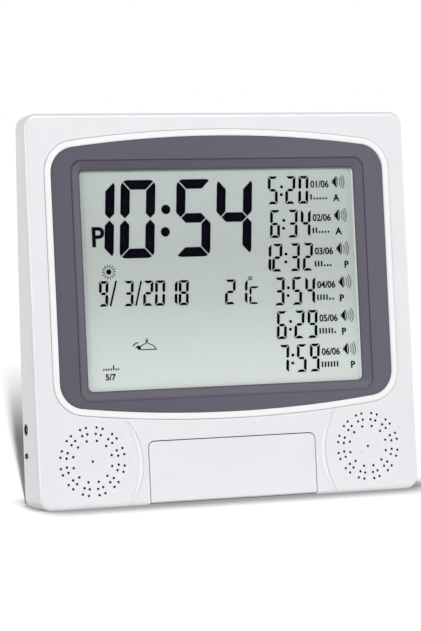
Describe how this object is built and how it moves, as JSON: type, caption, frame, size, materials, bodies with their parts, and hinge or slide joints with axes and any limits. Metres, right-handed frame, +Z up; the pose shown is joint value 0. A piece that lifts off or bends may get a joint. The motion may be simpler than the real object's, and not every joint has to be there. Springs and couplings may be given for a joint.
{
  "type": "azan clock",
  "caption": "Table clock with a large liquid crystal display in an arched surround, speakers below it, a drop-down button cover, battery bay and a fold-out foot.",
  "frame": {"origin": "middle of the flat underside of the case, on the table", "axes": "+X to the right as seen by someone who reads the display, +Y to the back, +Z up; the front leans back by 6.9 degrees"},
  "size_m": [0.2076, 0.1095, 0.1934],
  "materials": {
    "case_white": "satin white plastic with a faint texture",
    "trim_white": "bright white gloss",
    "surround_grey": "dark grey paint, satin",
    "clear_window": "clear, matt face",
    "display_green": "grey-green liquid crystal glass",
    "display_back": "pale reflector",
    "inner_white": "moulded",
    "contact_rubber": "striped contact rubber",
    "board_green": "circuit board",
    "chip_black": "black resin",
    "inlet_black": "moulded",
    "cap_blue": "sleeve",
    "sensor_brown": "dipped bead",
    "mat_rubber": "moulded",
    "ribbon_amber": "film",
    "lamp_red": "clear red",
    "bright_steel": "bright zinc",
    "basket_steel": "pressed",
    "button_white": "moulded",
    "cell_blue": "plastic sleeve",
    "gasket_foam": "foam",
    "cone_paper": "pressed paper",
    "wire_red": "insulation",
    "wire_black": "insulation"
  },
  "bodies": {
    "case": {"front_case": "case_white", "trim_ring": "trim_white", "display_surround": "surround_grey", "display_window": "clear_window", "display_front_glass": "display_green", "display_rear_glass": "display_back", "display_reflector": "display_back", "display_holder": "inner_white", "holder_screws": "bright_steel", "contact_strip": "contact_rubber", "main_board": "board_green", "board_screws": "bright_steel", "clock_chip": "chip_black", "sound_chip": "chip_black", "amplifier_chip": "chip_black", "crystal": "bright_steel", "capacitors": "cap_blue", "wire_sockets": "inner_white", "temperature_sensor": "sensor_brown", "key_mat": "mat_rubber", "key_board": "board_green", "key_board_screws": "bright_steel", "key_ribbon": "ribbon_amber", "speaker_gasket_left": "gasket_foam", "speaker_gasket_right": "gasket_foam", "speaker_basket_left": "basket_steel", "speaker_basket_right": "basket_steel", "speaker_cone_left": "cone_paper", "speaker_cone_right": "cone_paper", "speaker_magnet_left": "bright_steel", "speaker_magnet_right": "bright_steel", "speaker_screws": "bright_steel", "rear_case": "case_white", "case_screws": "bright_steel", "cell_1": "cell_blue", "cell_2": "cell_blue", "cell_3": "cell_blue", "contact_plates": "bright_steel", "contact_springs": "bright_steel", "power_inlet": "inlet_black", "inlet_pin": "bright_steel", "power_lamp": "lamp_red", "side_board": "board_green", "side_board_screws": "bright_steel", "speaker_wire_left": "wire_red", "speaker_wire_right": "wire_red", "battery_wire": "wire_black", "inlet_wire": "wire_black"},
    "button_cover": {"button_cover": "case_white"},
    "battery_cover": {"battery_cover": "case_white"},
    "foot": {"fold_out_foot": "case_white"},
    "button_1": {"button_1": "button_white"},
    "button_2": {"button_2": "button_white"},
    "button_3": {"button_3": "button_white"},
    "button_4": {"button_4": "button_white"},
    "button_5": {"button_5": "button_white"},
    "button_6": {"button_6": "button_white"},
    "button_7": {"button_7": "button_white"},
    "button_8": {"button_8": "button_white"}
  },
  "joints": [
    {"name": "button_cover_hinge", "type": "hinge", "parent": "case", "child": "button_cover", "pos_m": [0, -0.01521, 0.00418], "axis": [1, 0, 0], "range_deg": [0, 92]},
    {"name": "button_1_press", "type": "slide", "parent": "case", "child": "button_1", "axis": [0, 0.9928, -0.1201], "range_m": [0, 0.001], "stiffness_N_per_m": 80, "springref_m": -0.001, "deforming": ["key_mat"]},
    {"name": "button_2_press", "type": "slide", "parent": "case", "child": "button_2", "axis": [0, 0.9928, -0.1201], "range_m": [0, 0.001], "stiffness_N_per_m": 80, "springref_m": -0.001, "deforming": ["key_mat"]},
    {"name": "button_3_press", "type": "slide", "parent": "case", "child": "button_3", "axis": [0, 0.9928, -0.1201], "range_m": [0, 0.001], "stiffness_N_per_m": 80, "springref_m": -0.001, "deforming": ["key_mat"]},
    {"name": "button_4_press", "type": "slide", "parent": "case", "child": "button_4", "axis": [0, 0.9928, -0.1201], "range_m": [0, 0.001], "stiffness_N_per_m": 80, "springref_m": -0.001, "deforming": ["key_mat"]},
    {"name": "button_5_press", "type": "slide", "parent": "case", "child": "button_5", "axis": [0, 0.9928, -0.1201], "range_m": [0, 0.001], "stiffness_N_per_m": 80, "springref_m": -0.001, "deforming": ["key_mat"]},
    {"name": "button_6_press", "type": "slide", "parent": "case", "child": "button_6", "axis": [0, 0.9928, -0.1201], "range_m": [0, 0.001], "stiffness_N_per_m": 80, "springref_m": -0.001, "deforming": ["key_mat"]},
    {"name": "button_7_press", "type": "slide", "parent": "case", "child": "button_7", "axis": [0, 0.9928, -0.1201], "range_m": [0, 0.001], "stiffness_N_per_m": 80, "springref_m": -0.001, "deforming": ["key_mat"]},
    {"name": "button_8_press", "type": "slide", "parent": "case", "child": "button_8", "axis": [0, 0.9928, -0.1201], "range_m": [0, 0.001], "stiffness_N_per_m": 80, "springref_m": -0.001, "deforming": ["key_mat"]},
    {"name": "battery_cover_hinge", "type": "hinge", "parent": "case", "child": "battery_cover", "pos_m": [0, 0.01771, 0.00815], "axis": [-1, 0, 0], "range_deg": [0, 75]},
    {"name": "foot_hinge", "type": "hinge", "parent": "case", "child": "foot", "pos_m": [0, 0.01546, 0.0029], "axis": [1, 0, 0], "range_deg": [0, 83.1]}
  ]
}
